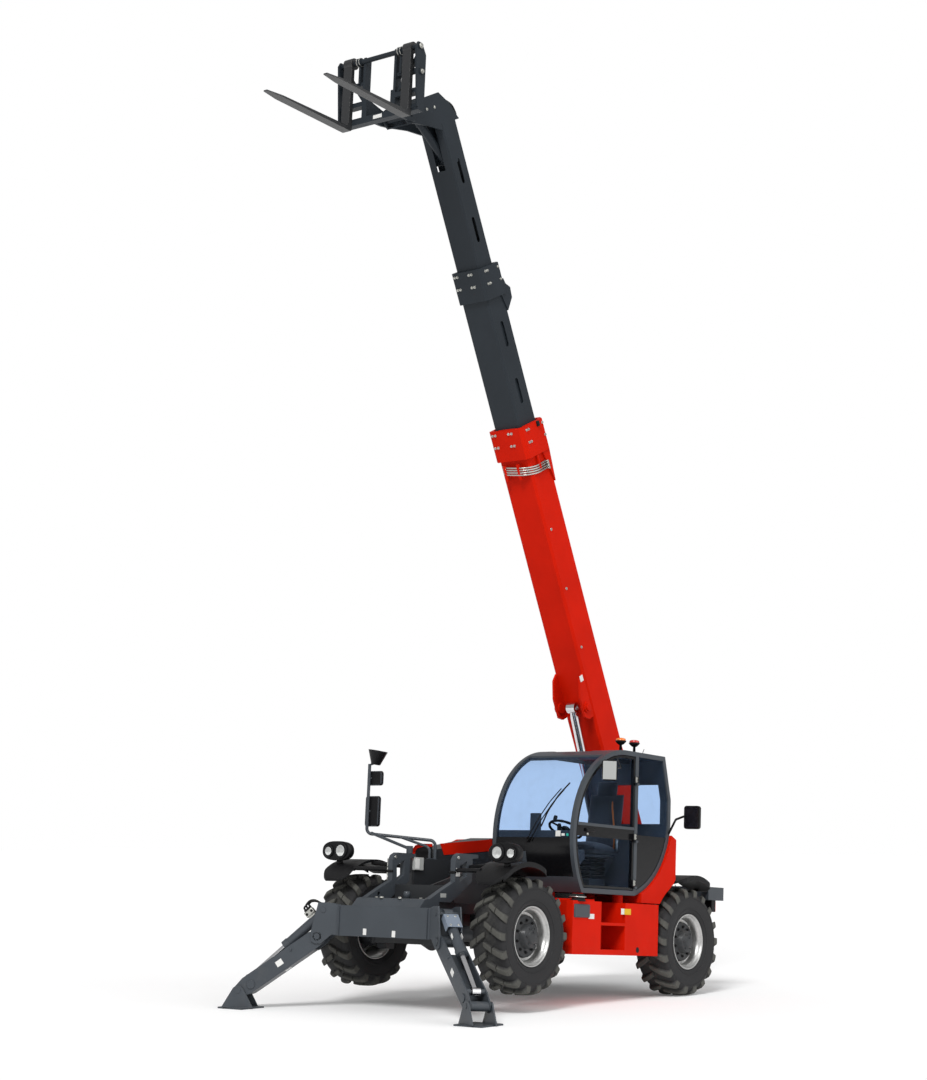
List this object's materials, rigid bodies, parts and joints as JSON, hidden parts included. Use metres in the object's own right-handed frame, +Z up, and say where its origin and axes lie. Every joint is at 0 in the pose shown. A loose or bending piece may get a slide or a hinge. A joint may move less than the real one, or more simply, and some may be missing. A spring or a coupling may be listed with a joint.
{
  "type": "telehandler",
  "caption": "Telehandler with a raised three-section boom, pallet forks, side cab, steered wheels and two front stabilisers that lift its nose",
  "frame": {"origin": "centre of the bounding box's base, on the ground", "axes": "+X forward, +Y to the driver's left, +Z up"},
  "size_m": [6.0708, 3.4486, 9.8899],
  "materials": {
    "red_paint": "gloss",
    "grey_paint": "satin",
    "dark_paint": "satin",
    "rim_silver": "satin",
    "tyre_rubber": "matte",
    "chrome_rod": "polished",
    "black_plastic": "textured",
    "lamp_plastic": "gloss",
    "amber_plastic": "gloss",
    "cab_glazing": "clear",
    "seat_cloth": "woven",
    "fork_steel": "worn"
  },
  "bodies": {
    "root": {"chassis_frame": "grey_paint", "rear_bumper": "black_plastic", "tail_lamps": "lamp_plastic", "body_left": "red_paint", "engine_housing": "red_paint", "engine_block": "dark_paint", "axle_front": "dark_paint", "axle_rear": "dark_paint", "stabiliser_beam": "grey_paint", "cab_frame": "grey_paint", "cab_glass": "cab_glazing", "cab_panels": "black_plastic", "roof_guard": "grey_paint", "seat": "seat_cloth", "steering_wheel": "black_plastic", "dashboard": "black_plastic", "fenders_front": "black_plastic", "fenders_rear": "black_plastic", "headlamps": "lamp_plastic", "mirror_mast": "black_plastic", "mirror_left": "black_plastic", "beacons": "amber_plastic"},
    "boom_outer": {"boom_outer": "red_paint"},
    "boom_middle": {"boom_middle": "grey_paint"},
    "boom_inner": {"boom_inner": "grey_paint"},
    "carriage": {"carriage": "grey_paint", "forks": "fork_steel"},
    "lift_barrel": {"lift_barrel": "grey_paint"},
    "lift_rod": {"lift_rod": "chrome_rod"},
    "tilt_barrel": {"tilt_barrel": "grey_paint"},
    "tilt_rod": {"tilt_rod": "chrome_rod"},
    "door": {"door_frame": "grey_paint", "door_glass": "cab_glazing"},
    "hood": {"engine_hood": "red_paint"},
    "tie_rod_front": {"tie_rod_front": "chrome_rod"},
    "knuckle_front_left": {"knuckle_front_left": "dark_paint"},
    "wheel_front_left": {"tyre_front_left": "tyre_rubber", "rim_front_left": "rim_silver"},
    "knuckle_front_right": {"knuckle_front_right": "dark_paint"},
    "wheel_front_right": {"tyre_front_right": "tyre_rubber", "rim_front_right": "rim_silver"},
    "tie_rod_rear": {"tie_rod_rear": "chrome_rod"},
    "knuckle_rear_left": {"knuckle_rear_left": "dark_paint"},
    "wheel_rear_left": {"tyre_rear_left": "tyre_rubber", "rim_rear_left": "rim_silver"},
    "knuckle_rear_right": {"knuckle_rear_right": "dark_paint"},
    "wheel_rear_right": {"tyre_rear_right": "tyre_rubber", "rim_rear_right": "rim_silver"},
    "leg_left": {"leg_left": "grey_paint"},
    "foot_left": {"foot_left": "grey_paint"},
    "leg_barrel_left": {"leg_barrel_left": "grey_paint"},
    "leg_rod_left": {"leg_rod_left": "chrome_rod"},
    "leg_right": {"leg_right": "grey_paint"},
    "foot_right": {"foot_right": "grey_paint"},
    "leg_barrel_right": {"leg_barrel_right": "grey_paint"},
    "leg_rod_right": {"leg_rod_right": "chrome_rod"}
  },
  "joints": [
    {"name": "steer_front_left", "type": "hinge", "parent": "root", "child": "knuckle_front_left", "pos_m": [0.90913, 0.76, 0.74895], "axis": [-0.0596, 0, 0.9982], "range_deg": [-32, 32]},
    {"name": "roll_front_left", "type": "hinge", "parent": "knuckle_front_left", "child": "wheel_front_left", "pos_m": [0.90913, 1.01, 0.74895], "axis": [0, 1, 0], "continuous": true},
    {"name": "steer_front_right", "type": "hinge", "parent": "root", "child": "knuckle_front_right", "pos_m": [0.90913, -0.76, 0.74895], "axis": [-0.0596, 0, 0.9982], "range_deg": [-32, 32]},
    {"name": "roll_front_right", "type": "hinge", "parent": "knuckle_front_right", "child": "wheel_front_right", "pos_m": [0.90913, -1.01, 0.74895], "axis": [0, 1, 0], "continuous": true},
    {"name": "tie_front", "type": "slide", "parent": "root", "child": "tie_rod_front", "axis": [0, 1, 0], "range_m": [-0.102, 0.102]},
    {"name": "steer_rear_left", "type": "hinge", "parent": "root", "child": "knuckle_rear_left", "pos_m": [-1.95578, 0.76, 0.578], "axis": [-0.0596, 0, 0.9982], "range_deg": [-32, 32]},
    {"name": "roll_rear_left", "type": "hinge", "parent": "knuckle_rear_left", "child": "wheel_rear_left", "pos_m": [-1.95578, 1.01, 0.578], "axis": [0, 1, 0], "continuous": true},
    {"name": "steer_rear_right", "type": "hinge", "parent": "root", "child": "knuckle_rear_right", "pos_m": [-1.95578, -0.76, 0.578], "axis": [-0.0596, 0, 0.9982], "range_deg": [-32, 32]},
    {"name": "roll_rear_right", "type": "hinge", "parent": "knuckle_rear_right", "child": "wheel_rear_right", "pos_m": [-1.95578, -1.01, 0.578], "axis": [0, 1, 0], "continuous": true},
    {"name": "tie_rear", "type": "slide", "parent": "root", "child": "tie_rod_rear", "axis": [0, 1, 0], "range_m": [-0.102, 0.102]},
    {"name": "boom_lift", "type": "hinge", "parent": "root", "child": "boom_outer", "pos_m": [-2.74532, -0.17, 1.65488], "axis": [0, -1, 0], "range_deg": [-67.4, 4.5]},
    {"name": "boom_extend", "type": "slide", "parent": "boom_outer", "child": "boom_middle", "axis": [0.409, 0, 0.9125], "range_m": [-1.2, 2.6]},
    {"name": "boom_extend_inner", "type": "slide", "parent": "boom_middle", "child": "boom_inner", "axis": [0.409, 0, 0.9125], "range_m": [-1.2, 2.6]},
    {"name": "lift_barrel_swing", "type": "hinge", "parent": "root", "child": "lift_barrel", "pos_m": [-2.52897, -0.17, 0.86637], "axis": [0, -1, 0], "range_deg": [-55.32, 3.74]},
    {"name": "lift_rod_slide", "type": "slide", "parent": "lift_barrel", "child": "lift_rod", "axis": [0.3395, 0, 0.9406], "range_m": [-0.788, 0.0535]},
    {"name": "carriage_tilt", "type": "hinge", "parent": "boom_inner", "child": "carriage", "pos_m": [1.42844, -0.17, 9.25448], "axis": [0, 1, 0], "range_deg": [-79, 25]},
    {"name": "tilt_barrel_swing", "type": "hinge", "parent": "boom_inner", "child": "tilt_barrel", "pos_m": [0.621, -0.17, 8.95671], "axis": [0, -1, 0], "range_deg": [-1.24, 0.42]},
    {"name": "tilt_rod_slide", "type": "slide", "parent": "tilt_barrel", "child": "tilt_rod", "axis": [0.8193, 0, 0.5734], "range_m": [-0.2823, 0.09]},
    {"name": "leg_left_swing", "type": "hinge", "parent": "root", "child": "leg_left", "pos_m": [1.80637, 0.834, 0.72135], "axis": [-0.8731, 0.4848, -0.0521], "range_deg": [-106, 6]},
    {"name": "foot_left_tilt", "type": "hinge", "parent": "leg_left", "child": "foot_left", "pos_m": [2.21973, 1.5197, 0.175], "axis": [-0.8731, 0.4848, -0.0521], "range_deg": [-30, 30]},
    {"name": "leg_barrel_left_swing", "type": "hinge", "parent": "root", "child": "leg_barrel_left", "pos_m": [1.76366, 0.78502, 0.98127], "axis": [-0.8731, 0.4848, -0.0521], "range_deg": [-98.63, 5.63]},
    {"name": "leg_rod_left_slide", "type": "slide", "parent": "leg_barrel_left", "child": "leg_rod_left", "axis": [0.3952, 0.6411, -0.6579], "range_m": [-0.4265, 0.0251]},
    {"name": "leg_right_swing", "type": "hinge", "parent": "root", "child": "leg_right", "pos_m": [1.80637, -0.834, 0.72135], "axis": [0.8731, 0.4848, 0.0521], "range_deg": [-106, 6]},
    {"name": "foot_right_tilt", "type": "hinge", "parent": "leg_right", "child": "foot_right", "pos_m": [2.21973, -1.5197, 0.175], "axis": [0.8731, 0.4848, 0.0521], "range_deg": [-30, 30]},
    {"name": "leg_barrel_right_swing", "type": "hinge", "parent": "root", "child": "leg_barrel_right", "pos_m": [1.76366, -0.78502, 0.98127], "axis": [0.8731, 0.4848, 0.0521], "range_deg": [-98.63, 5.63]},
    {"name": "leg_rod_right_slide", "type": "slide", "parent": "leg_barrel_right", "child": "leg_rod_right", "axis": [0.3952, -0.6411, -0.6579], "range_m": [-0.4265, 0.0251]},
    {"name": "door_swing", "type": "hinge", "parent": "root", "child": "door", "pos_m": [-1.03468, 1.119, 1.71188], "axis": [-0.0596, 0, 0.9982], "range_deg": [0, 100]},
    {"name": "hood_swing", "type": "hinge", "parent": "root", "child": "hood", "pos_m": [-1.15889, -0.442, 1.66139], "axis": [-0.9982, 0, -0.0596], "range_deg": [0, 55]}
  ],
  "couplings": [
    {"joint": "steer_front_right", "follows": "steer_front_left", "ratio": 1},
    {"joint": "tie_front", "follows": "steer_front_left", "m_per_rad": -0.18},
    {"joint": "steer_rear_right", "follows": "steer_rear_left", "ratio": 1},
    {"joint": "tie_rear", "follows": "steer_rear_left", "m_per_rad": -0.18},
    {"joint": "boom_extend_inner", "follows": "boom_extend", "ratio": 1},
    {"joint": "lift_barrel_swing", "follows": "boom_lift", "ratio": 0.82},
    {"joint": "lift_rod_slide", "follows": "boom_lift", "m_per_rad": 0.669},
    {"joint": "tilt_barrel_swing", "follows": "carriage_tilt", "ratio": 0.015},
    {"joint": "tilt_rod_slide", "follows": "carriage_tilt", "m_per_rad": 0.204},
    {"joint": "leg_barrel_left_swing", "follows": "leg_left_swing", "ratio": 0.93},
    {"joint": "leg_rod_left_slide", "follows": "leg_left_swing", "m_per_rad": 0.23},
    {"joint": "leg_barrel_right_swing", "follows": "leg_right_swing", "ratio": 0.93},
    {"joint": "leg_rod_right_slide", "follows": "leg_right_swing", "m_per_rad": 0.23}
  ]
}
